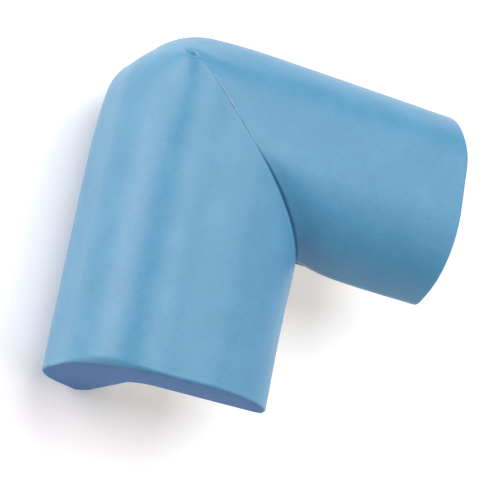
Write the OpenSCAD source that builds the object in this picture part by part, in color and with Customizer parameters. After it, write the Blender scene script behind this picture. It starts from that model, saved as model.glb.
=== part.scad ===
// Foam corner cushion for the edge of a table top.
// One L-section foam strip is notched, folded round an outer corner and glued along a 45 degree mitre.
// Adhesive strips with peel-off liners line the inner faces.
// Frame: +Z up, flange on top, skirts hanging down. The outer corner points to -X, +Y.

/* [Foam strip] */
// Outer length of each leg, from the outer corner to the cut end
leg_l = 60; // [50:1:120]
// Width of the flange that lies on the table top
flange_w = 35; // [31:0.5:45]
// Height of the skirt that hangs over the table edge, over the foam
skirt_h = 35; // [31:0.5:45]
// Thickness of the foam in the flange and in the skirt
foam_t = 12.5; // [8:0.5:16]
// Radius of the outer bend between flange and skirt
bend_r = 13; // [4:0.5:15]
// Radius of the arc that thins each free edge down to its inner face
nose_r = 16; // [9:0.5:18]
// Fillet in the inner corner of the section
inner_r = 1.6; // [0.4:0.1:2]

/* [Mitre joint] */
// Thickness of the glue film in the mitre
glue_t = 0.3; // [0.1:0.05:0.8]

/* [Adhesive strips] */
// Thickness of an adhesive strip
tape_t = 0.8; // [0.3:0.1:1.2]
// Margin between the channel's inner corner and the near edge of a strip
tape_inset = 3; // [2.5:0.1:5]
// Margin between the foam's free edge and the far edge of a strip
tape_edge = 2.5; // [1.5:0.1:5]
// Margin between the cut end of a leg and the end of a strip
tape_end = 1.5; // [0.5:0.1:5]
// Setback of a strip's mitred end from the mitre
tape_mitre = 0.6; // [0.3:0.1:3]

/* [Release liners] */
// Thickness of a release liner
liner_t = 0.2; // [0.1:0.05:0.4]
// How far a liner stands past the long sides of its strip
liner_over = 0.8; // [0:0.1:1.2]
// Air left between a strip and its liner, so that the liner lifts off
liner_gap = 0.05; // [0.02:0.01:0.1]

/* [Hidden] */
$fn = 96;

// Overshoot of a cutting shape
eps = 1;
// The fold turns about the inner face of the skirt
fold_r = foam_t;
// Height of the flange's underside, where the channel ends
under_z = skirt_h - foam_t;
// Setback of each leg from the mitre line, measured along the leg
mitre_back = glue_t / sqrt(2);

// ---------------------------------------------------------------- section

// One limb of the section. It runs along +X, its outer face is on Y = 0 and its foam is below.
// The nose arc is tangent to the outer face and meets the inner face at the limb's full length.
module limb(length) {
  nose_x = length - sqrt(pow(nose_r, 2) - pow(nose_r - foam_t, 2));
  intersection() {
    translate([0, -foam_t]) square([length, foam_t]);
    union() {
      translate([0, -foam_t]) square([nose_x, foam_t]);
      translate([nose_x, -nose_r]) circle(r = nose_r);
    }
  }
}

// The spandrel between a square corner at the origin and the arc that rounds it
module spandrel(r) {
  difference() {
    square(r);
    translate([r, r]) circle(r = r);
  }
}

// The whole L section: X runs from the skirt's outer face, Y runs up from the skirt's tip
module foam_section() {
  difference() {
    translate([0, skirt_h]) {
      limb(flange_w);
      mirror([1, 1]) limb(skirt_h);
    }
    translate([0, skirt_h]) mirror([0, 1]) spandrel(bend_r);
  }
  translate([foam_t, under_z]) mirror([0, 1]) spandrel(inner_r);
}

// ---------------------------------------------------------------- placing

// Puts the outer corner in its place in the frame
module placed() {
  translate([-leg_l / 2, leg_l / 2, 0]) children();
}

// Turns a piece of the front leg into its twin on the side leg
module to_side() {
  mirror([1, 1, 0]) children();
}

// A section extruded along the front leg, between two distances from the outer corner
module along_front(from, to) {
  translate([0, -from, 0]) rotate([90, 0, 0]) linear_extrude(height = to - from) children();
}

// Everything on the front leg's side of the mitre, set back from it
module front_of_mitre(setback, reach) {
  translate([0, 0, -eps]) linear_extrude(height = skirt_h + 2 * eps)
    polygon([
      [-eps, -fold_r], [fold_r, -fold_r], [fold_r, -fold_r - setback],
      [reach, -reach - setback], [reach, -leg_l - eps], [-eps, -leg_l - eps]
    ]);
}

// ---------------------------------------------------------------- foam

module front_leg_foam() {
  intersection() {
    along_front(fold_r, leg_l) foam_section();
    front_of_mitre(mitre_back, flange_w + eps);
  }
}

module front_leg() {
  color("#6ea8cf") placed() front_leg_foam();
}

module side_leg() {
  color("#6ea8cf") placed() to_side() front_leg_foam();
}

// The uncut web of the strip, turned through the corner about the skirt's inner face
module corner_fold() {
  color("#6ea8cf") placed() translate([fold_r, -fold_r, 0])
    rotate([0, 0, 90]) rotate_extrude(angle = 90)
      translate([fold_r, 0]) mirror([1, 0]) intersection() {
        foam_section();
        square([fold_r, skirt_h]);
      }
}

// The glue film between the two mitred cuts
module mitre_glue() {
  reach = flange_w + eps;
  color("#d8dce0") placed() intersection() {
    along_front(fold_r, reach) foam_section();
    to_side() along_front(fold_r, reach) foam_section();
    translate([0, 0, -eps]) linear_extrude(height = skirt_h + 2 * eps)
      polygon([
        [fold_r, -fold_r], [fold_r, -fold_r - mitre_back], [reach - mitre_back, -reach],
        [reach, -reach], [reach, -reach + mitre_back], [fold_r + mitre_back, -fold_r]
      ]);
  }
}

// ---------------------------------------------------------------- adhesive strips and liners

// A layer on the flange's underside: the strip when depth is 0 and over is 0
module top_layer(depth, thick, over) {
  near = foam_t + tape_inset - over;
  far = flange_w - tape_edge + over;
  back = tape_mitre * sqrt(2);
  translate([0, 0, under_z - depth - thick]) linear_extrude(height = thick)
    polygon([
      [near, -near - back], [far, -far - back],
      [far, -leg_l + tape_end], [near, -leg_l + tape_end]
    ]);
}

// A layer on the skirt's inner face, built the same way
module skirt_layer(depth, thick, over) {
  low = tape_edge - over;
  high = under_z - tape_inset + over;
  start = foam_t + tape_inset;
  translate([foam_t + depth, -leg_l + tape_end, low])
    cube([thick, leg_l - tape_end - start, high - low]);
}

module front_top_tape() {
  color("#e9e6da") placed() top_layer(0, tape_t, 0);
}

module front_skirt_tape() {
  color("#e9e6da") placed() skirt_layer(0, tape_t, 0);
}

module side_top_tape() {
  color("#e9e6da") placed() to_side() top_layer(0, tape_t, 0);
}

module side_skirt_tape() {
  color("#e9e6da") placed() to_side() skirt_layer(0, tape_t, 0);
}

module front_top_liner() {
  color("#f4f4f0") placed() top_layer(tape_t + liner_gap, liner_t, liner_over);
}

module front_skirt_liner() {
  color("#f4f4f0") placed() skirt_layer(tape_t + liner_gap, liner_t, liner_over);
}

module side_top_liner() {
  color("#f4f4f0") placed() to_side() top_layer(tape_t + liner_gap, liner_t, liner_over);
}

module side_skirt_liner() {
  color("#f4f4f0") placed() to_side() skirt_layer(tape_t + liner_gap, liner_t, liner_over);
}

front_leg();
side_leg();
corner_fold();
mitre_glue();
front_top_tape();
front_skirt_tape();
side_top_tape();
side_skirt_tape();
front_top_liner();
front_skirt_liner();
side_top_liner();
side_skirt_liner();
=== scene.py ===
"""Foam cushion for the corner of a table edge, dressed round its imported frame.

One strip of closed-cell foam with an L section is notched, folded round the
corner and glued along a mitre. Adhesive strips with peel-off liners line its
channel. Every length is in metres, in the frame's own axes: +Z is up, the
outer corner points to -X and +Y, the front leg runs to -Y and the side leg to
+X.
"""

import logging
import math
from dataclasses import dataclass, field
from enum import Enum
from typing import Any

import bmesh
import bpy
import numpy as np
from mathutils import Matrix, Vector


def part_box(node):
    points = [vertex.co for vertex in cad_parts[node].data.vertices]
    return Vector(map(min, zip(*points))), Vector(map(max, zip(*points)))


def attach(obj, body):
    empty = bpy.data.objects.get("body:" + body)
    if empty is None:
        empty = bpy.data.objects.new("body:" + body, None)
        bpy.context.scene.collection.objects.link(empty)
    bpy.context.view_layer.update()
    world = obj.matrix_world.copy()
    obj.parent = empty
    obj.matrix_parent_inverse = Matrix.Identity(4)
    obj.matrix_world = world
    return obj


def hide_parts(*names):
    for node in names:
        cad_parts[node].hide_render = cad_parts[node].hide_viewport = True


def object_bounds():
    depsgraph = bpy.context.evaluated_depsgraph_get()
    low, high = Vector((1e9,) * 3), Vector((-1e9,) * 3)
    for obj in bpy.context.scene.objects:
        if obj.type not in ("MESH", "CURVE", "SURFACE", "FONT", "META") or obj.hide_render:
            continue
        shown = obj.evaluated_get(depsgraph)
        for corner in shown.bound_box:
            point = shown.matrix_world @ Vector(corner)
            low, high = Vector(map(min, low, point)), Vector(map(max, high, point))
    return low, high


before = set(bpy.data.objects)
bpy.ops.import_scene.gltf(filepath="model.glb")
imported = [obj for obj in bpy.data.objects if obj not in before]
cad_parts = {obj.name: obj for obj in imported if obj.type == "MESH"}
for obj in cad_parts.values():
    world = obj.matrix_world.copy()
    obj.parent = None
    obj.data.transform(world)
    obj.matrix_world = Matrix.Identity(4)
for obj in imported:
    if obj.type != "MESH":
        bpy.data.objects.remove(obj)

CAD_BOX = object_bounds()
MM = 0.001
WELD = 0.001 * MM
ROOT_HALF = math.sqrt(0.5)

logging.basicConfig(level=logging.INFO, format="%(message)s")
log = logging.getLogger("corner_cushion")


class Leg(Enum):
    """The two legs of the folded strip."""

    FRONT = "front"
    SIDE = "side"


class Face(Enum):
    """The two faces of the channel that an adhesive strip can lie on."""

    TOP = "top"
    SKIRT = "skirt"


# ------------------------------------------------------------------ materials


def linear(colour: str) -> tuple[float, float, float, float]:
    """Turns an sRGB hex colour into a linear one.

    Args:
        colour: Six hex digits after a hash.

    Returns:
        Linear red, green and blue, and an alpha of one.
    """
    values = [int(colour[i : i + 2], 16) / 255 for i in (1, 3, 5)]
    straight = [
        v / 12.92 if v <= 0.04045 else ((v + 0.055) / 1.055) ** 2.4 for v in values
    ]
    return (*straight, 1.0)


def per_metre(size_mm: float) -> float:
    """Texture scale that gives features of that size, in millimetres."""
    return 1000.0 / size_mm


def add(
    tree: bpy.types.NodeTree,
    kind: str,
    settings: dict[str, Any] | None = None,
    inputs: dict[str | int, Any] | None = None,
) -> bpy.types.Node:
    """Adds a node with its settings and its links.

    Args:
        tree: The node tree.
        kind: The node's type name.
        settings: Properties of the node.
        inputs: Values of its sockets, or the sockets that feed them.

    Returns:
        The new node.
    """
    node = tree.nodes.new(kind)
    for name, value in (settings or {}).items():
        setattr(node, name, value)
    for name, value in (inputs or {}).items():
        if isinstance(value, bpy.types.NodeSocket):
            tree.links.new(value, node.inputs[name])
        else:
            node.inputs[name].default_value = value
    return node


def ramp(
    tree: bpy.types.NodeTree,
    factor: bpy.types.NodeSocket,
    stops: list[tuple[float, tuple[float, float, float, float]]],
) -> bpy.types.NodeSocket:
    """Adds a colour ramp.

    Args:
        tree: The node tree.
        factor: The socket that drives it.
        stops: Positions and linear colours, from 0 to 1.

    Returns:
        Its colour socket.
    """
    node = add(tree, "ShaderNodeValToRGB", inputs={"Fac": factor})
    band = node.color_ramp.elements
    while len(band) < len(stops):
        band.new(0.5)
    for element, (position, colour) in zip(band, stops):
        element.position = position
        element.color = colour
    return node.outputs["Color"]


def new_material(name: str) -> tuple[bpy.types.Material, bpy.types.NodeTree]:
    """Makes an empty node material.

    Args:
        name: The material's name.

    Returns:
        The material and its cleared node tree.
    """
    material = bpy.data.materials.new(name)
    material.use_nodes = True
    material.node_tree.nodes.clear()
    return material, material.node_tree


def close_shader(
    tree: bpy.types.NodeTree, inputs: dict[str | int, Any]
) -> bpy.types.Node:
    """Adds the surface shader and the output.

    Args:
        tree: The node tree.
        inputs: Values or links of the shader's sockets.

    Returns:
        The shader node.
    """
    shader = add(tree, "ShaderNodeBsdfPrincipled", inputs=inputs)
    add(tree, "ShaderNodeOutputMaterial", inputs={"Surface": shader.outputs["BSDF"]})
    return shader


@dataclass(frozen=True)
class ClosedCellFoam:
    """Blue nitrile foam with an extruded skin and knife-cut ends.

    The skin is dull and finely pored, with soft cloudy colour and a faint
    bloom at grazing angles. A cut face has open cells, and its deeper, bluer
    colour is partly the cells' own tone and partly painted shade.
    """

    deep: str = "#4B89AB"
    body: str = "#4D8BAE"
    pale: str = "#518FB1"
    # Cut-face colours: the open cells' tone, darkened partly as painted shade
    cut_shade_deep: str = "#3A6CA4"
    cut_shade_body: str = "#4175AB"
    cloud_mm: float = 7.0
    mottle_mm: float = 1.9
    grain_mm: float = 0.42
    cell_mm: float = 0.46
    roughness: tuple[float, float] = (0.38, 0.47)

    def build(self) -> bpy.types.Material:
        """Makes the material."""
        material, tree = new_material("nitrile_foam_closed_cell")
        place = add(tree, "ShaderNodeTexCoord").outputs["Object"]
        cut = add(
            tree, "ShaderNodeAttribute", {"attribute_name": "cut_face"}
        ).outputs["Fac"]
        rim = add(
            tree, "ShaderNodeAttribute", {"attribute_name": "rim"}
        ).outputs["Fac"]

        def noise(size: float, detail: float, rough: float) -> bpy.types.NodeSocket:
            """Noise with features of that size in millimetres."""
            return add(
                tree,
                "ShaderNodeTexNoise",
                inputs={
                    "Vector": place,
                    "Scale": per_metre(size),
                    "Detail": detail,
                    "Roughness": rough,
                },
            ).outputs["Fac"]

        def blend(
            kind: str, factor: Any, first: Any, second: Any
        ) -> bpy.types.NodeSocket:
            """Mixes two colours."""
            node = add(
                tree, "ShaderNodeMix", {"data_type": "RGBA", "blend_type": kind}
            )
            for socket, value in zip((0, 6, 7), (factor, first, second)):
                if isinstance(value, bpy.types.NodeSocket):
                    tree.links.new(value, node.inputs[socket])
                else:
                    node.inputs[socket].default_value = value
            return node.outputs[2]

        cloud = noise(self.cloud_mm, 2.0, 0.5)
        mottle = noise(self.mottle_mm, 3.0, 0.6)
        grain = noise(self.grain_mm, 2.0, 0.65)
        cells = add(
            tree,
            "ShaderNodeTexVoronoi",
            {"feature": "F1"},
            {"Vector": place, "Scale": per_metre(self.cell_mm), "Randomness": 0.9},
        ).outputs["Distance"]

        # Cloudy colour from uneven foaming, then the finer mottle and the pores.
        skin = ramp(
            tree,
            cloud,
            [
                (0.30, linear(self.deep)),
                (0.5, linear(self.body)),
                (0.72, linear(self.pale)),
            ],
        )
        spots = ramp(
            tree,
            mottle,
            [(0.30, (0.94, 0.96, 0.975, 1)), (0.70, (1.04, 1.03, 1.02, 1))],
        )
        skin = blend("MULTIPLY", 0.8, skin, spots)
        pores = ramp(
            tree,
            grain,
            [(0.30, (0.85, 0.89, 0.92, 1)), (0.62, (1.03, 1.03, 1.02, 1))],
        )
        skin = blend("MULTIPLY", 0.7, skin, pores)
        # Handling rubs the rims a little paler.
        rubbed = blend("MIX", rim, skin, linear(self.pale))
        # The cut faces' deeper blue is partly the open cells' own tone and partly painted
        # shade.
        open_cells_and_shade = ramp(
            tree, cells, [(0.0, linear(self.cut_shade_deep)), (0.35, linear(self.cut_shade_body))]
        )
        colour = blend("MIX", cut, rubbed, open_cells_and_shade)

        low, high = self.roughness
        dull = add(
            tree,
            "ShaderNodeMapRange",
            inputs={0: mottle, 1: 0.3, 2: 0.7, 3: low, 4: high},
        ).outputs[0]
        dull = add(
            tree, "ShaderNodeMath", {"operation": "MULTIPLY_ADD"}, {0: cut, 1: 0.4, 2: dull}
        ).outputs[0]

        # Soft lumps of 2 mm, pores of 0.4 mm, and the open cells of the cut.
        lumps = add(
            tree,
            "ShaderNodeBump",
            inputs={"Strength": 0.14, "Distance": 0.12 * MM, "Height": mottle},
        ).outputs[0]
        pored = add(
            tree,
            "ShaderNodeBump",
            inputs={"Strength": 0.38, "Distance": 0.08 * MM, "Height": grain, "Normal": lumps},
        ).outputs[0]
        opened = add(
            tree,
            "ShaderNodeBump",
            inputs={"Strength": cut, "Distance": 0.10 * MM, "Height": cells, "Normal": pored},
        ).outputs[0]
        close_shader(
            tree,
            {
                "Base Color": colour,
                "Roughness": dull,
                "Normal": opened,
                "IOR": 1.48,
                "Specular IOR Level": 0.5,
                "Sheen Weight": 0.05,
                "Sheen Roughness": 0.45,
                "Sheen Tint": (0.78, 0.84, 1.0, 1.0),
            },
        )
        return material


@dataclass(frozen=True)
class ContactCement:
    """Dried contact cement: pale, faintly pink, smooth and a little glossy."""

    pale: str = "#8FA9CE"
    thin: str = "#6E9DC0"
    clot_mm: float = 1.1

    def build(self) -> bpy.types.Material:
        """Makes the material."""
        material, tree = new_material("contact_cement_dried")
        place = add(tree, "ShaderNodeTexCoord").outputs["Object"]
        clots = add(
            tree,
            "ShaderNodeTexNoise",
            inputs={"Vector": place, "Scale": per_metre(self.clot_mm), "Detail": 3.0},
        ).outputs["Fac"]
        colour = ramp(tree, clots, [(0.35, linear(self.thin)), (0.62, linear(self.pale))])
        bump = add(
            tree,
            "ShaderNodeBump",
            inputs={"Strength": 0.5, "Distance": 0.06 * MM, "Height": clots},
        ).outputs[0]
        close_shader(
            tree,
            {
                "Base Color": colour,
                "Roughness": 0.42,
                "Normal": bump,
                "IOR": 1.47,
                "Subsurface Weight": 0.2,
                "Subsurface Radius": (0.6, 0.5, 0.5),
                "Subsurface Scale": MM,
            },
        )
        return material


@dataclass(frozen=True)
class PressureTape:
    """Double-sided tissue tape: an off-white fibrous core in tacky acrylic."""

    core: str = "#E4E0D2"
    wet: str = "#CFC9B4"
    fibre_mm: float = 0.5
    bubble_mm: float = 3.2

    def build(self) -> bpy.types.Material:
        """Makes the material."""
        material, tree = new_material("acrylic_tissue_tape")
        place = add(tree, "ShaderNodeTexCoord").outputs["Object"]
        stretched = add(
            tree, "ShaderNodeMapping", inputs={"Vector": place, "Scale": (1.0, 0.35, 1.0)}
        ).outputs[0]
        fibre = add(
            tree,
            "ShaderNodeTexNoise",
            inputs={
                "Vector": stretched,
                "Scale": per_metre(self.fibre_mm),
                "Detail": 4.0,
                "Distortion": 1.2,
            },
        ).outputs["Fac"]
        bubble = add(
            tree,
            "ShaderNodeTexVoronoi",
            {"feature": "SMOOTH_F1"},
            {"Vector": place, "Scale": per_metre(self.bubble_mm)},
        ).outputs["Distance"]
        colour = ramp(tree, fibre, [(0.35, linear(self.wet)), (0.65, linear(self.core))])
        tack = add(
            tree,
            "ShaderNodeMapRange",
            inputs={0: bubble, 1: 0.1, 2: 0.6, 3: 0.22, 4: 0.48},
        ).outputs[0]
        bump = add(
            tree,
            "ShaderNodeBump",
            inputs={"Strength": 0.4, "Distance": 0.05 * MM, "Height": fibre},
        ).outputs[0]
        close_shader(
            tree,
            {"Base Color": colour, "Roughness": tack, "Normal": bump, "IOR": 1.47},
        )
        return material


@dataclass(frozen=True)
class GlassinePaper:
    """Silicone-coated glassine liner: smooth, cream, with faint fibre clouds."""

    pale: str = "#E6DEC5"
    cloud: str = "#E0D7BA"
    cloud_mm: float = 1.3
    fibre_mm: float = 0.35

    def build(self) -> bpy.types.Material:
        """Makes the material."""
        material, tree = new_material("silicone_glassine_liner")
        place = add(tree, "ShaderNodeTexCoord").outputs["Object"]
        clouds = add(
            tree,
            "ShaderNodeTexNoise",
            inputs={"Vector": place, "Scale": per_metre(self.cloud_mm), "Detail": 5.0},
        ).outputs["Fac"]
        fibres = add(
            tree,
            "ShaderNodeTexNoise",
            inputs={"Vector": place, "Scale": per_metre(self.fibre_mm), "Detail": 2.0},
        ).outputs["Fac"]
        colour = ramp(tree, clouds, [(0.38, linear(self.cloud)), (0.60, linear(self.pale))])
        bump = add(
            tree,
            "ShaderNodeBump",
            inputs={"Strength": 0.25, "Distance": 0.02 * MM, "Height": fibres},
        ).outputs[0]
        close_shader(
            tree,
            {
                "Base Color": colour,
                "Roughness": 0.42,
                "Normal": bump,
                "IOR": 1.45,
                "Coat Weight": 0.15,
                "Coat Roughness": 0.25,
            },
        )
        return material


@dataclass(frozen=True)
class MatteBoard:
    """White matte board, lit a little from below like a light table."""

    white: str = "#F7F7F7"
    glow: str = "#FFFFFF"
    glow_strength: float = 0.18
    tooth_mm: float = 0.8

    def build(self) -> bpy.types.Material:
        """Makes the material."""
        material, tree = new_material("white_matte_board")
        place = add(tree, "ShaderNodeTexCoord").outputs["Object"]
        tooth = add(
            tree,
            "ShaderNodeTexNoise",
            inputs={"Vector": place, "Scale": per_metre(self.tooth_mm), "Detail": 2.0},
        ).outputs["Fac"]
        bump = add(
            tree,
            "ShaderNodeBump",
            inputs={"Strength": 0.05, "Distance": 0.02 * MM, "Height": tooth},
        ).outputs[0]
        close_shader(
            tree,
            {
                "Base Color": linear(self.white),
                "Roughness": 0.9,
                "Normal": bump,
                "Emission Color": linear(self.glow),
                "Emission Strength": self.glow_strength,
            },
        )
        return material


# -------------------------------------------------------------- common steps


def clear_selection() -> None:
    """Leaves edit mode and deselects everything."""
    if bpy.context.object and bpy.context.object.mode != "OBJECT":
        bpy.ops.object.mode_set(mode="OBJECT")
    bpy.ops.object.select_all(action="DESELECT")


def dress(
    piece: bpy.types.Object,
    material: bpy.types.Material,
    body: str,
    nodes: tuple[str, ...],
) -> None:
    """Gives a finished piece its material and its place in the frame.

    Args:
        piece: The finished piece.
        material: Its material.
        body: The body it rides on.
        nodes: The nodes it stands for.
    """
    piece.data.materials.clear()
    piece.data.materials.append(material)
    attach(piece, body)
    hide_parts(*nodes)


def report(piece: bpy.types.Object) -> None:
    """Logs a piece's name, corner count and size in millimetres."""
    size = [round(v / MM, 1) for v in piece.dimensions]
    log.info("%s: %d points, %s mm", piece.name, len(piece.data.vertices), size)


def smoothstep(value: np.ndarray) -> np.ndarray:
    """Eases from 0 to 1 between the values 0 and 1."""
    value = np.clip(value, 0.0, 1.0)
    return value * value * (3.0 - 2.0 * value)


def bell(value: np.ndarray, width: float) -> np.ndarray:
    """Bell curve of that half width, 1 at zero."""
    return np.exp(-((value / width) ** 2))


def rounding(distance: np.ndarray, radius: np.ndarray | float) -> np.ndarray:
    """Depth of a rounded shoulder at a distance from its edge."""
    lack = np.clip(radius - distance, 0.0, radius)
    return radius - np.sqrt(np.maximum(radius**2 - lack**2, 0.0))


# ----------------------------------------------------------------- foam strip


@dataclass(frozen=True)
class FoamSection:
    """The strip's L section, as two curves that run side by side.

    The first coordinate is the distance from the skirt's outer face, and the
    second the height over the skirt's tip.
    """

    flange_w: float
    skirt_h: float
    foam_t: float
    bend_r: float = 13.0 * MM
    nose_r: float = 16.0 * MM
    tip_r: float = 2.2 * MM
    inner_r: float = 3.4 * MM
    dip: float = 0.30 * MM
    dip_at: float = 13.0 * MM
    dip_w: float = 4.5 * MM
    limb_ribs: int = 52
    bend_ribs: int = 56

    def nose(self, reach: float) -> tuple[float, float]:
        """Places the two arcs that end a limb.

        Args:
            reach: The limb's full length.

        Returns:
            Centre of the nose arc and centre of the tip arc, along the limb.
        """
        rise = self.nose_r - self.foam_t + self.tip_r
        span = math.sqrt((self.nose_r - self.tip_r) ** 2 - rise**2)
        return reach - self.tip_r - span, reach - self.tip_r

    def outer_depth(self, along: np.ndarray, reach: float) -> np.ndarray:
        """Depth of the outer face under the limb's flat plane.

        Args:
            along: Distances from the other limb's outer face.
            reach: The limb's full length.

        Returns:
            The depths.
        """
        nose_at, tip_at = self.nose(reach)
        fall = np.clip(along - nose_at, 0.0, self.nose_r)
        depth = self.nose_r - np.sqrt(self.nose_r**2 - fall**2)
        step = np.array([tip_at - nose_at, self.foam_t - self.tip_r - self.nose_r])
        meet = nose_at + step[0] / np.hypot(*step) * self.nose_r
        turn = np.clip((along - tip_at) / self.tip_r, -1.0, 1.0)
        tip = self.foam_t - self.tip_r - self.tip_r * np.sqrt(1.0 - turn**2)
        return np.where(along > meet, tip, depth)

    def inner_depth(self, along: np.ndarray, reach: float) -> np.ndarray:
        """Depth of the inner face under the limb's flat plane, as above."""
        tip_at = self.nose(reach)[1]
        turn = np.clip((along - tip_at) / self.tip_r, 0.0, 1.0)
        return self.foam_t - self.tip_r + self.tip_r * np.sqrt(1.0 - turn**2)

    def curves(self) -> tuple[np.ndarray, np.ndarray]:
        """Traces the section from the skirt's tip to the flange's tip.

        Returns:
            The outer and the inner curve, whose points pair up across the foam.
        """
        start = self.foam_t + self.inner_r
        ease = np.cos(np.linspace(0.0, 1.0, self.limb_ribs, endpoint=False) * math.pi / 2)
        down = start + (self.skirt_h - start) * ease
        skirt_out = np.stack([self.outer_depth(down, self.skirt_h), self.skirt_h - down], 1)
        skirt_in = np.stack([self.inner_depth(down, self.skirt_h), self.skirt_h - down], 1)

        turn = np.linspace(0.0, 1.0, self.bend_ribs + 1)
        straight = start - self.bend_r
        length = 2 * straight + self.bend_r * math.pi / 2
        run = turn * length
        angle = np.clip((run - straight) / self.bend_r, 0.0, math.pi / 2)
        bend_out = np.stack(
            [
                self.bend_r * (1 - np.cos(angle))
                + np.clip(run - length + straight, 0.0, straight),
                self.skirt_h
                - self.bend_r * (1 - np.sin(angle))
                - np.clip(straight - run, 0.0, straight),
            ],
            1,
        )
        bend_in = np.stack(
            [
                start - self.inner_r * np.cos(turn * math.pi / 2),
                self.skirt_h - start + self.inner_r * np.sin(turn * math.pi / 2),
            ],
            1,
        )
        along = start + (self.flange_w - start) * ease[::-1]
        flange_out = np.stack(
            [along, self.skirt_h - self.outer_depth(along, self.flange_w)], 1
        )
        flange_in = np.stack(
            [along, self.skirt_h - self.inner_depth(along, self.flange_w)], 1
        )
        outer = np.vstack([skirt_out, bend_out, flange_out])
        inner = np.vstack([skirt_in, bend_in, flange_in])
        # The skin sinks a little between the bend and the crown of the flange.
        top = smoothstep((outer[:, 1] - self.skirt_h + self.bend_r) / self.bend_r)
        outer[:, 1] -= self.dip * bell(outer[:, 0] - self.dip_at, self.dip_w) * top
        return outer, inner


@dataclass
class FoamGuard:
    """The folded foam strip, as one closed skin.

    A ring of the section is carried from the cut end of the front leg, through
    the mitre, to the cut end of the side leg.
    """

    leg_l: float
    section: FoamSection
    # Plan rounding of the fold, at the top and at the skirt's tip, its flatter
    # middle, and how far along the legs the fold sags and is drawn in
    fold_top: float = 15.8 * MM
    fold_tip: float = 7.0 * MM
    fold_flat: float = 0.12
    fold_least: float = 0.3 * MM
    fold_reach: float = 12.0 * MM
    droop: float = 4.0 * MM
    droop_u: float = 7.0 * MM
    droop_soft: float = 0.02
    tuck: float = 4.0 * MM
    # Where the notch ends on the bend, and the skirt's heights over which the
    # round fold shrinks to that depth
    notch_u: float = 6.2 * MM
    notch_spare: float = 1.1 * MM
    notch_foot: float = 18.0 * MM
    notch_rise: float = 12.0 * MM
    # How the joint opens below the notch: the lips, the slit, the shift of the
    # line across the mitre, and the step between the lips
    shoulder_r: float = 0.24 * MM
    shoulder_low: float = 0.50 * MM
    shoulder_beats: tuple[float, float] = (0.55 * MM, 1.7 * MM)
    shoulder_least: float = 0.55
    joint_ease: float = 1.2 * MM
    under_ease: float = 2.0 * MM
    hair: float = 0.01 * MM
    pillow: float = 0.12 * MM
    pillow_w: float = 2.6 * MM
    slit_from: float = 19.0 * MM
    slit_ease: float = 6.0 * MM
    slit_depth: float = 5.0 * MM
    seam_depth: float = 0.15 * MM
    lap: float = 0.55 * MM
    lap_from: float = 5.0 * MM
    lap_ease: float = 7.0 * MM
    lap_reach: float = 9.0 * MM
    lap_foot: float = 15.0 * MM
    lap_rise: float = 8.0 * MM
    gap: float = 0.55 * MM
    gap_ease: float = 8.0 * MM
    gap_reach: float = 4.0 * MM
    proud: float = 0.20 * MM
    sunk: float = 0.35 * MM
    lip_w: float = 5.0 * MM
    pit: float = 1.3 * MM
    pit_w: float = 0.75 * MM
    pit_l: float = 0.9 * MM
    # Knife-cut ends: edge radius, the softer edge on the bend, and the skin's
    # unevenness, which fades out at the cut
    cut_r: float = 0.42 * MM
    cut_r_bend: float = 1.25 * MM
    cut_bend_at: float = 4.0 * MM
    cut_bend_w: float = 5.0 * MM
    cut_bend_foot: float = 22.0 * MM
    cut_bend_rise: float = 8.0 * MM
    cut_w: float = 0.16 * MM
    # Rubbed rims of the cuts and of the joint: how much, how far in, how wide
    cut_rub: tuple[float, float, float] = (0.55, 0.4 * MM, 0.5 * MM)
    joint_rub: tuple[float, float, float] = (0.3, 0.5 * MM, 0.4 * MM)
    dome: float = 0.20 * MM
    dome_power: float = 0.7
    wave: float = 0.03 * MM
    wave_fade: float = 4.0 * MM
    wave_count: int = 6
    wave_mm: tuple[float, float] = (8.0, 24.0)
    seed: int = 11
    # Rows across a cut end, and shares that keep insets within the foam
    cap_rows: int = 9
    tip_hold: float = 1.6
    deepest: float = 0.8
    # Stations in millimetres: from the mitre outwards, and back from the cut
    near: tuple[float, ...] = (
        0.0, 0.07, 0.16, 0.28, 0.42, 0.58, 0.80, 1.1, 1.5, 2.0, 2.6, 3.3, 4.1, 5.0,
        6.0, 7.1, 8.3, 9.6, 11.0, 12.6, 14.4,
    )
    far: int = 22
    end: tuple[float, ...] = (2.0, 1.5, 1.1, 0.8, 0.55, 0.36, 0.20, 0.09, 0.02, 0.0)
    ring: np.ndarray = field(init=False)
    spine: np.ndarray = field(init=False)
    outer_n: int = field(init=False)

    def __post_init__(self) -> None:
        """Traces the ring and the line inside it that depths lead to."""
        outer, inner = self.section.curves()
        self.outer_n = len(outer)
        self.ring = np.vstack([outer, inner[-2:0:-1]])
        middle = (outer + inner) / 2
        hold = self.section.tip_r * self.tip_hold
        middle[:, 0] = np.minimum(middle[:, 0], self.section.flange_w - hold)
        middle[:, 1] = np.maximum(middle[:, 1], hold)
        self.spine = np.vstack([middle, middle[-2:0:-1]])

    def arc_from_notch(self) -> np.ndarray:
        """Distance of each ring point past the end of the notch, along the skin."""
        steps = np.linalg.norm(np.diff(self.ring, axis=0), axis=1)
        run = np.concatenate([[0.0], np.cumsum(steps)])
        high = self.ring[:, 1] > self.section.skirt_h - self.section.bend_r
        outer = np.arange(len(self.ring)) < self.outer_n
        apex = int(np.argmax(high & outer & (self.ring[:, 0] > self.notch_u)))
        return run - run[apex]

    def stations(self) -> np.ndarray:
        """Distances from the mitre along the legs, negative on the front leg.

        Returns:
            One row for each ring point and one column for each station.
        """
        reach = (self.leg_l - self.ring[:, 0])[:, None]
        near = np.array(self.near)[None, :] * MM
        end = np.array(self.end)[None, :] * MM
        share = np.linspace(0.0, 1.0, self.far + 1)[None, 1:-1]
        first, last = near[:, -1:], reach - end[:, :1]
        far = first + (last - first) * share
        half = np.hstack([np.repeat(near, len(reach), 0), far, reach - end])
        return np.hstack([-half[:, :0:-1], half])

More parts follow.
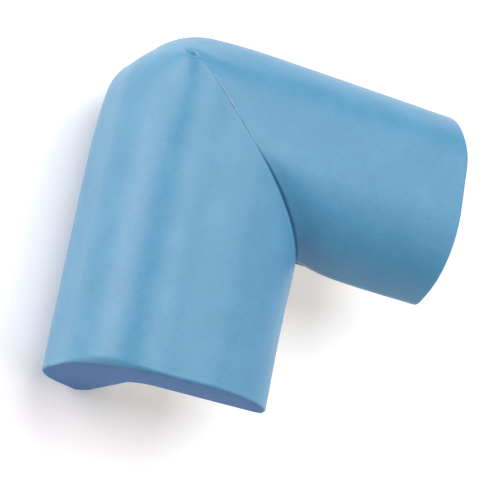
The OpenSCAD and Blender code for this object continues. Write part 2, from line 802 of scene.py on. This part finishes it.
    def fold(self, walk: np.ndarray, tangent: np.ndarray) -> np.ndarray:
        """How far a rounded corner has turned onto its second side.

        Args:
            walk: Distances past the corner.
            tangent: Half length of the rounding.

        Returns:
            Distances along the second side.
        """
        away = np.abs(walk)
        flat = tangent * self.fold_flat
        lobe = np.clip(away - flat, 0.0, None) ** 2 / (4 * (tangent - flat))
        middle = tangent * (1 + self.fold_flat) / 4
        turned = np.where(away >= tangent, away, middle + away / 2 + lobe)
        return np.where(walk >= 0, turned, turned - away)

    def ripple(self, walk: np.ndarray, run: np.ndarray) -> np.ndarray:
        """Slow unevenness of the skin, from -1 to 1 and always the same."""
        rng = np.random.default_rng(self.seed)
        total = np.zeros_like(walk)
        for _ in range(self.wave_count):
            length = rng.uniform(*self.wave_mm) * MM
            angle, phase = rng.uniform(0.0, 2 * math.pi, 2)
            total += np.sin(
                2 * math.pi * (walk * math.cos(angle) + run * math.sin(angle)) / length
                + phase
            )
        return total / self.wave_count

    def place(self, walk: np.ndarray, inset: np.ndarray) -> np.ndarray:
        """Puts ring points in the frame.

        Args:
            walk: Distances from the mitre, one row for each ring point.
            inset: Depths under the skin, of the same shape.

        Returns:
            Points, with x, y and z in the last axis.
        """
        u, v = self.ring[:, :1], self.ring[:, 1:]
        aim = self.spine - self.ring
        room = np.linalg.norm(aim, axis=1)[:, None]
        aim = aim / room
        inset = np.minimum(inset, room * self.deepest)
        du, dv = aim[:, :1] * inset, aim[:, 1:] * inset
        height = v / self.section.skirt_h
        # The fold is round as deep as the notch leaves the foam whole.
        foam_t = self.section.foam_t
        cut = self.notch_u + self.notch_spare - foam_t
        whole = foam_t + cut * smoothstep((v - self.notch_foot) / self.notch_rise)
        inside = np.clip(1 - u / whole, 0.0, 1.0)
        tangent = self.fold_top * height + self.fold_tip * (1 - height)
        tangent = np.maximum(tangent * inside, self.fold_least)
        # A point off the skin stays on its own side of the mitre.
        close = bell(walk, self.joint_ease)
        x = u + self.fold(walk, tangent) + du * np.where(walk <= 0, 1.0, close)
        y = -u - self.fold(-walk, tangent) - du * np.where(walk >= 0, 1.0, close)
        z = v + dv
        near = bell(walk, self.fold_reach)
        slack = 1 - u / self.droop_u
        sag = (slack + np.sqrt(slack**2 + self.droop_soft)) / 2
        z = z - self.droop * near * height * sag
        deep = np.clip(1 - u / foam_t, 0.0, 1.0)
        pull = self.tuck * near * (1 - height) * deep * ROOT_HALF
        shift = self.lap * smoothstep((u - self.lap_from) / self.lap_ease)
        shift = shift * bell(walk, self.lap_reach)
        shift = shift * smoothstep((v - self.lap_foot) / self.lap_rise)
        open_low = smoothstep((u - self.slit_from) / self.gap_ease)
        part = open_low * bell(walk, self.gap_reach) * (walk > self.hair)
        shift = (shift + self.gap * part) * ROOT_HALF
        x, y = x + pull + shift, y - pull + shift
        return np.stack([x - self.leg_l / 2, y + self.leg_l / 2, z], -1)

    def depths(self, walk: np.ndarray) -> tuple[np.ndarray, np.ndarray, np.ndarray]:
        """Depth of the joint, the cut edges and the ripples under the skin.

        Args:
            walk: Distances from the mitre.

        Returns:
            The depths, how much each point belongs to a cut face, and how
            much to a rim.
        """
        u, v = self.ring[:, :1], self.ring[:, 1:]
        run = self.arc_from_notch()[:, None]
        count = len(self.ring)
        outer = (np.arange(count) < self.outer_n)[:, None]
        foam_t = self.section.foam_t
        away = np.abs(walk)
        joint = np.where(
            outer,
            smoothstep(run / self.joint_ease),
            smoothstep((u - foam_t) / self.under_ease),
        )
        low = np.where(
            outer | (u > foam_t),
            smoothstep((u - self.slit_from) / self.slit_ease),
            0.0,
        )
        # Above the slit the lips meet in places, so the line comes and goes.
        short, long = self.shoulder_beats
        broken = np.sin(run / short) * np.sin(run / long + 1.0)
        least = self.shoulder_least
        shoulder = self.shoulder_r * (least + (1 - least) * broken)
        shoulder = shoulder + (self.shoulder_low - shoulder) * low
        depth = joint * rounding(away, shoulder)
        depth += joint * self.pillow * bell(away, self.pillow_w)
        slit = np.where(away < self.hair, 1.0, 0.0)
        depth += slit * self.slit_depth * low + slit * joint * self.seam_depth
        lip = np.where(walk > 0, self.sunk, -self.proud) * bell(away, self.lip_w)
        depth += np.where(away < self.hair, 0.0, lip * low)
        depth += self.pit * bell(away, self.pit_w) * bell(run, self.pit_l) * outer

        left = self.leg_l - u - away
        bend = bell(u - self.cut_bend_at, self.cut_bend_w) * outer
        bend = bend * smoothstep((v - self.cut_bend_foot) / self.cut_bend_rise)
        edge = self.cut_r + (self.cut_r_bend - self.cut_r) * bend
        depth += rounding(np.maximum(left, 0.0), edge)
        uneven = self.ripple(walk, run) * smoothstep(left / self.wave_fade)
        depth += self.wave * uneven * outer
        cut = smoothstep(1 - left / self.cut_w)
        much, place, width = self.cut_rub
        rim = much * bell(left - place, width)
        much, place, width = self.joint_rub
        rim = rim + much * joint * bell(away - place, width)
        return depth, cut, rim * outer

    def cap(
        self, ring: np.ndarray, direction: np.ndarray, first: int, ring_first: int
    ) -> tuple[np.ndarray, list[tuple[int, ...]]]:
        """Closes a cut end with rows across the foam.

        Args:
            ring: The end ring's points.
            direction: The way the cut faces.
            first: Index that the first new point gets.
            ring_first: Index of the end ring's first point.

        Returns:
            The new points and the faces.
        """
        count, rows, outer_n = len(ring), self.cap_rows, self.outer_n
        index = np.zeros((outer_n, rows + 1), int)
        points = []
        for rib in range(outer_n):
            mate = 0 if rib == 0 else (rib if rib == outer_n - 1 else count - rib)
            index[rib, 0], index[rib, -1] = ring_first + rib, ring_first + mate
            if rib in (0, outer_n - 1):
                index[rib, :] = ring_first + rib
                continue
            for row in range(1, rows):
                share = row / rows
                swell = self.dome * (4 * share * (1 - share)) ** self.dome_power
                index[rib, row] = first + len(points)
                points.append(
                    ring[rib] * (1 - share) + ring[mate] * share + direction * swell
                )
        faces = []
        for rib in range(outer_n - 1):
            for row in range(rows):
                corners = [
                    index[rib, row], index[rib + 1, row],
                    index[rib + 1, row + 1], index[rib, row + 1],
                ]
                loop = [int(c) for i, c in enumerate(corners) if c != corners[i - 1]]
                if len(loop) > 2:
                    faces.append(tuple(loop))
        return np.array(points), faces

    def build(self) -> bpy.types.Object:
        """Makes the closed skin.

        Returns:
            The finished piece.
        """
        walk = self.stations()
        depth, cut, rim = self.depths(walk)
        grid = self.place(walk, depth).transpose(1, 0, 2)
        columns, count = grid.shape[:2]
        points = [grid.reshape(-1, 3)]
        cuts, rims = [cut.T.ravel()], [rim.T.ravel()]
        faces = []
        for column in range(columns - 1):
            a, b = column * count, (column + 1) * count
            for i in range(count):
                j = (i + 1) % count
                faces.append((a + i, a + j, b + j, b + i))
        for ring, way, start in (
            (grid[0], np.array([0.0, -1.0, 0.0]), 0),
            (grid[-1], np.array([1.0, 0.0, 0.0]), (columns - 1) * count),
        ):
            new, closed = self.cap(ring, way, sum(len(p) for p in points), start)
            points.append(new)
            cuts.append(np.ones(len(new)))
            rims.append(np.zeros(len(new)))
            faces += closed
        mesh = bpy.data.meshes.new("foam_guard")
        mesh.from_pydata(np.vstack(points).tolist(), [], faces)
        for name, values in (("cut_face", cuts), ("rim", rims)):
            layer = mesh.attributes.new(name, "FLOAT", "POINT")
            layer.data.foreach_set("value", np.concatenate(values))
        shell = bmesh.new()
        shell.from_mesh(mesh)
        bmesh.ops.remove_doubles(shell, verts=shell.verts, dist=WELD)
        bmesh.ops.recalc_face_normals(shell, faces=shell.faces)
        for face in shell.faces:
            face.smooth = True
        shell.to_mesh(mesh)
        shell.free()
        piece = bpy.data.objects.new("foam_guard", mesh)
        bpy.context.scene.collection.objects.link(piece)
        return piece

    def joint_line(self, inset: float, under: bool) -> np.ndarray:
        """Traces the mitre joint on the skin.

        Args:
            inset: Depth under the skin.
            under: True for the flange's underside.

        Returns:
            Points from the notch to the free edge.
        """
        walk = np.zeros((len(self.ring), 1))
        line = self.place(walk, np.full_like(walk, inset))[:, 0]
        run = self.arc_from_notch()
        if under:
            keep = np.arange(len(self.ring)) >= self.outer_n
            keep &= self.ring[:, 0] > self.section.foam_t + self.section.inner_r
            return line[keep][::-1]
        return line[(run > 0) & (np.arange(len(self.ring)) < self.outer_n)]


@dataclass
class MitreGlue:
    """The cement that shows as an uneven line in the mitre joint."""

    guard: FoamGuard
    radius: float = 0.13 * MM
    wobble: float = 0.02 * MM
    rings: int = 90
    # Depth under the skin, on the outer face and on the underside
    inset_top: float = 0.09 * MM
    inset_under: float = 0.16 * MM
    # The strand's thickness at shares of the joint's length: the cement has
    # squeezed out as a bead in the upper third
    bead: tuple[tuple[float, float], ...] = (
        (0.0, 0.2), (0.12, 0.4), (0.17, 1.2), (0.27, 1.0),
        (0.33, 0.4), (0.45, 0.35), (0.5, 0.12), (1.0, 0.1),
    )
    under_thick: float = 0.9
    least_thick: float = 0.12
    clot: float = 0.6
    clot_beats: tuple[float, float] = (83.0, 31.0)
    seed: int = 5

    def strand(
        self, line: np.ndarray, thickness: list[float], rng: np.random.Generator
    ) -> bpy.types.Object:
        """Runs a thin strand of cement along a line.

        Args:
            line: The points.
            thickness: Radius factor at each point.
            rng: Source of the small wobble.

        Returns:
            The strand as a mesh.
        """
        clear_selection()
        bpy.ops.curve.primitive_nurbs_path_add()
        strand = bpy.context.object
        curve = strand.data
        curve.splines.clear()
        spline = curve.splines.new("POLY")
        spline.points.add(len(line) - 1)
        for point, place, factor in zip(spline.points, line, thickness):
            point.co = (*(place + rng.normal(0.0, self.wobble, 3)), 1.0)
            point.radius = factor
        curve.bevel_depth = self.radius
        curve.bevel_resolution = 2
        curve.use_fill_caps = True
        bpy.ops.object.convert(target="MESH")
        return bpy.context.object

    def build(self) -> bpy.types.Object:
        """Makes the strands on the top and under the flange, as one piece."""
        rng = np.random.default_rng(self.seed)
        strands = []
        for under in (False, True):
            inset = self.inset_under if under else self.inset_top
            line = self.guard.joint_line(inset, under)
            steps = np.linalg.norm(np.diff(line, axis=0), axis=1)
            run = np.concatenate([[0.0], np.cumsum(steps)])
            even = np.linspace(0.0, run[-1], self.rings)
            line = np.stack([np.interp(even, run, line[:, i]) for i in range(3)], 1)
            share = even / run[-1]
            places, thick = zip(*self.bead)
            swell = np.interp(share, places, thick)
            if under:
                swell = np.full(len(even), self.under_thick)
            short, long = self.clot_beats
            clots = np.sin(share * short) * np.sin(share * long + 1.0)
            swell = np.maximum(swell * (1 + self.clot * clots), self.least_thick)
            strands.append(self.strand(line, swell.tolist(), rng))
        clear_selection()
        for strand in strands:
            strand.select_set(True)
        bpy.context.view_layer.objects.active = strands[0]
        bpy.ops.object.join()
        piece = bpy.context.object
        piece.name = "mitre_glue_line"
        bpy.ops.object.transform_apply(location=True, rotation=True, scale=True)
        bpy.ops.object.mode_set(mode="EDIT")
        bpy.ops.mesh.select_all(action="SELECT")
        bpy.ops.mesh.remove_doubles(threshold=WELD)
        bpy.ops.mesh.normals_make_consistent(inside=False)
        bpy.ops.object.mode_set(mode="OBJECT")
        bpy.ops.object.shade_smooth()
        return piece


# ------------------------------------------------------ adhesive and liners


@dataclass
class ChannelStrip:
    """A flat strip on one face of the channel, made from its node's box."""

    leg: Leg
    face: Face
    kind: str
    corner_r: float
    edge_r: float

    @property
    def node(self) -> str:
        """Name of the node this strip stands for."""
        return f"{self.leg.value}_{self.face.value}_{self.kind}"

    @property
    def normal(self) -> Vector:
        """The way its open face looks, into the channel."""
        if self.face is Face.TOP:
            return Vector((0, 0, -1))
        return Vector((1, 0, 0)) if self.leg is Leg.FRONT else Vector((0, -1, 0))

    @property
    def outward(self) -> Vector:
        """The way from the mitre to the cut end of its leg."""
        return Vector((0, -1, 0)) if self.leg is Leg.FRONT else Vector((1, 0, 0))

    def slab(self) -> bpy.types.Object:
        """Adds the slab, mitres it and rounds its corners, all in edit mode."""
        low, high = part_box(self.node)
        clear_selection()
        bpy.ops.mesh.primitive_cube_add(size=1.0, location=(low + high) / 2)
        slab = bpy.context.object
        slab.name = self.node.replace(self.kind, f"{self.kind}_strip")
        slab.scale = high - low
        bpy.ops.object.transform_apply(location=True, rotation=True, scale=True)
        bpy.ops.object.mode_set(mode="EDIT")
        if self.face is Face.TOP:
            way = 1.0 if self.leg is Leg.FRONT else -1.0
            bpy.ops.mesh.select_all(action="SELECT")
            bpy.ops.mesh.bisect(
                plane_co=(low.x, high.y, low.z),
                plane_no=(way * ROOT_HALF, way * ROOT_HALF, 0.0),
                use_fill=True,
                clear_outer=True,
            )
        bpy.ops.mesh.select_mode(type="EDGE")
        bpy.ops.mesh.select_all(action="DESELECT")
        shape = bmesh.from_edit_mesh(slab.data)
        for edge in shape.edges:
            along = (edge.verts[1].co - edge.verts[0].co).normalized()
            edge.select = abs(along.dot(self.normal)) > 0.99
        bmesh.update_edit_mesh(slab.data)
        bpy.ops.mesh.bevel(offset=self.corner_r, segments=6, affect="EDGES")
        bpy.ops.mesh.select_all(action="SELECT")
        bpy.ops.mesh.normals_make_consistent(inside=False)
        return slab

    def round_edges(self, slab: bpy.types.Object) -> None:
        """Softens the slab's long edges with an applied bevel."""
        bpy.ops.object.mode_set(mode="OBJECT")
        bevel = slab.modifiers.new("soft_edge", "BEVEL")
        bevel.width = self.edge_r
        bevel.segments = 2
        bevel.limit_method = "ANGLE"
        bevel.angle_limit = math.radians(40)
        bpy.ops.object.modifier_apply(modifier=bevel.name)
        bpy.ops.object.shade_smooth_by_angle(angle=math.radians(35))


@dataclass
class AdhesiveStrip(ChannelStrip):
    """A strip of double-sided tape, with a slightly sunken tacky face."""

    kind: str = "tape"
    corner_r: float = 0.9 * MM
    edge_r: float = 0.07 * MM
    rim_w: float = 0.24 * MM
    sink: float = 0.05 * MM

    def build(self) -> bpy.types.Object:
        """Makes the strip."""
        slab = self.slab()
        bpy.ops.mesh.select_mode(type="FACE")
        bpy.ops.mesh.select_all(action="DESELECT")
        shape = bmesh.from_edit_mesh(slab.data)
        for face in shape.faces:
            face.select = face.normal.dot(self.normal) > 0.9
        bmesh.update_edit_mesh(slab.data)
        bpy.ops.mesh.inset(thickness=self.rim_w, depth=0.0)
        bpy.ops.transform.translate(value=-self.normal * self.sink)
        self.round_edges(slab)
        return slab


@dataclass
class ReleaseLiner(ChannelStrip):
    """A paper liner with one corner curled up for the fingers."""

    kind: str = "liner"
    corner_r: float = 1.3 * MM
    edge_r: float = 0.04 * MM
    folds: tuple[float, ...] = (11.0, 9.0, 7.4, 6.0, 4.8, 3.6, 2.4, 1.2)
    lift: tuple[float, ...] = (0.05, 0.10, 0.16, 0.22, 0.28, 0.34, 0.38, 0.40)
    draw_in: float = 0.15
    fold_margin: float = 0.05

    def build(self) -> bpy.types.Object:
        """Makes the liner."""
        low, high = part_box(self.node)
        slab = self.slab()
        # The finger corner is at the cut end, on the channel's open side.
        across = Vector((0, 0, -1))
        if self.face is Face.TOP:
            across = Vector((1, 0, 0)) if self.leg is Leg.FRONT else Vector((0, -1, 0))
        way = (self.outward + across).normalized()
        tip = max(
            (
                Vector((x, y, z))
                for x in (low.x, high.x)
                for y in (low.y, high.y)
                for z in (low.z, high.z)
            ),
            key=lambda corner: corner.dot(way),
        )
        reach = tip.dot(way)
        for fold in self.folds:
            bpy.ops.mesh.select_all(action="SELECT")
            bpy.ops.mesh.bisect(plane_co=way * (reach - fold * MM), plane_no=way)
        bpy.ops.mesh.select_mode(type="VERT")
        for fold, lift in zip(self.folds, self.lift):
            bpy.ops.mesh.select_all(action="DESELECT")
            shape = bmesh.from_edit_mesh(slab.data)
            for vertex in shape.verts:
                past = vertex.co.dot(way) - reach + (fold - self.fold_margin) * MM
                vertex.select = past > 0.0
            shape.select_flush_mode()
            bmesh.update_edit_mesh(slab.data)
            step = (self.normal - way * self.draw_in) * lift * MM
            bpy.ops.transform.translate(value=step)
        self.round_edges(slab)
        return slab


# --------------------------------------------------------------------- studio


@dataclass(frozen=True)
class StudioCamera:
    """A long lens over the outer corner, turned on its side."""

    azimuth: float = -57.72
    elevation: float = 63.02
    roll: float = 71.47
    distance: float = 0.310
    aim: tuple[float, float, float] = (-0.0022, -0.0014, 0.0205)
    lens: float = 134.14

    def build(self) -> bpy.types.Object:
        """Adds the camera and makes it the scene's."""
        turn, tilt, roll = map(math.radians, (self.azimuth, self.elevation, self.roll))
        back = Vector(
            (math.sin(turn) * math.cos(tilt), -math.cos(turn) * math.cos(tilt), math.sin(tilt))
        )
        level = Vector((math.cos(turn), math.sin(turn), 0.0))
        right = level * math.cos(roll) + back.cross(level) * math.sin(roll)
        axes = Matrix((right, back.cross(right), back)).transposed()
        clear_selection()
        bpy.ops.object.camera_add()
        camera = bpy.context.object
        camera.name = "studio_camera"
        spot = Vector(self.aim) + back * self.distance
        camera.matrix_world = Matrix.Translation(spot) @ axes.to_4x4()
        camera.data.lens = self.lens
        camera.data.sensor_width = 36.0
        camera.data.clip_start = 0.01
        camera.data.dof.use_dof = False
        bpy.context.scene.camera = camera
        return camera


@dataclass(frozen=True)
class SoftBox:
    """A square soft box that looks at the object."""

    name: str
    spot: tuple[float, float, float]
    size: float
    power: float
    tint: tuple[float, float, float] = (1.0, 1.0, 1.0)

    def build(self) -> bpy.types.Object:
        """Adds the light."""
        clear_selection()
        bpy.ops.object.light_add(type="AREA", location=self.spot)
        light = bpy.context.object
        light.name = self.name
        light.rotation_euler = Vector(self.spot).to_track_quat("Z", "Y").to_euler()
        light.data.shape = "SQUARE"
        light.data.size = self.size
        light.data.energy = self.power
        light.data.color = self.tint
        return light


@dataclass
class Studio:
    """Camera, pale board, four soft boxes and a pale horizon."""

    camera: StudioCamera = field(default_factory=StudioCamera)
    boxes: tuple[SoftBox, ...] = (
        SoftBox("left_box", (-0.93, 0.24, 0.33), 0.65, 8.3, (1.11, 0.95, 0.89)),
        SoftBox("back_box", (0.45, 0.50, 0.72), 0.65, 2.0, (1.0, 1.0, 0.98)),
        SoftBox("top_box", (0.02, 0.30, 1.03), 0.70, 8.9, (1.0, 1.0, 0.99)),
        SoftBox("right_box", (0.90, -0.10, 0.62), 0.75, 4.4, (0.98, 0.97, 1.03)),
    )
    # Colour and strength of the surround, by the height of the direction
    surround: tuple[tuple[float, float, tuple[float, float, float]], ...] = (
        (0.09, 0.92, (1.0, 1.0, 1.0)),
        (0.15, 0.40, (0.72, 0.66, 1.0)),
        (0.30, 0.05, (0.72, 0.66, 1.0)),
    )
    floor_size: float = 1.3

    def build(self) -> None:
        """Sets the studio up."""
        self.camera.build()
        for box in self.boxes:
            box.build()
        clear_selection()
        bpy.ops.mesh.primitive_plane_add(size=self.floor_size, location=(0, 0, 0))
        floor = bpy.context.object
        floor.name = "studio_floor"
        floor.data.materials.append(MatteBoard().build())
        world = bpy.data.worlds.new("studio_surround")
        world.use_nodes = True
        bpy.context.scene.world = world
        # A white horizon that fades into a dim, slightly violet ceiling.
        tree = world.node_tree
        way = add(tree, "ShaderNodeTexCoord").outputs["Generated"]
        rise = add(tree, "ShaderNodeSeparateXYZ", inputs={0: way}).outputs["Z"]
        stops = [
            (height, (*(strength * part for part in tint), 1.0))
            for height, strength, tint in self.surround
        ]
        tree.links.new(ramp(tree, rise, stops), tree.nodes["Background"].inputs["Color"])
        bpy.context.scene.view_settings.view_transform = "Standard"


# ----------------------------------------------------------------- the object


def section_from_frame() -> tuple[float, FoamSection]:
    """Reads the strip's sizes from the nodes' boxes.

    Returns:
        The length of a leg and the section.
    """
    low, high = CAD_BOX
    front_low, front_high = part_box("front_leg")
    skirt_h = front_high.z - front_low.z
    foam_t = front_high.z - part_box("front_top_tape")[1].z
    return high.x - low.x, FoamSection(front_high.x - front_low.x, skirt_h, foam_t)


def main() -> None:
    """Builds the studio and the cushion, piece by piece."""
    Studio().build()
    leg_l, section = section_from_frame()
    guard = FoamGuard(leg_l, section)
    foam = guard.build()
    dress(
        foam,
        ClosedCellFoam().build(),
        "guard",
        ("front_leg", "side_leg", "corner_fold"),
    )
    report(foam)

    glue = MitreGlue(guard).build()
    dress(glue, ContactCement().build(), "guard", ("mitre_glue",))
    report(glue)

    tape_finish, liner_finish = PressureTape().build(), GlassinePaper().build()
    for leg in Leg:
        for face in Face:
            tape = AdhesiveStrip(leg, face)
            piece = tape.build()
            dress(piece, tape_finish, "guard", (tape.node,))
            report(piece)
            liner = ReleaseLiner(leg, face)
            piece = liner.build()
            body = f"{leg.value}_{face.value}_release"
            dress(piece, liner_finish, body, (liner.node,))
            report(piece)
    clear_selection()


if __name__ == "__main__":
    main()
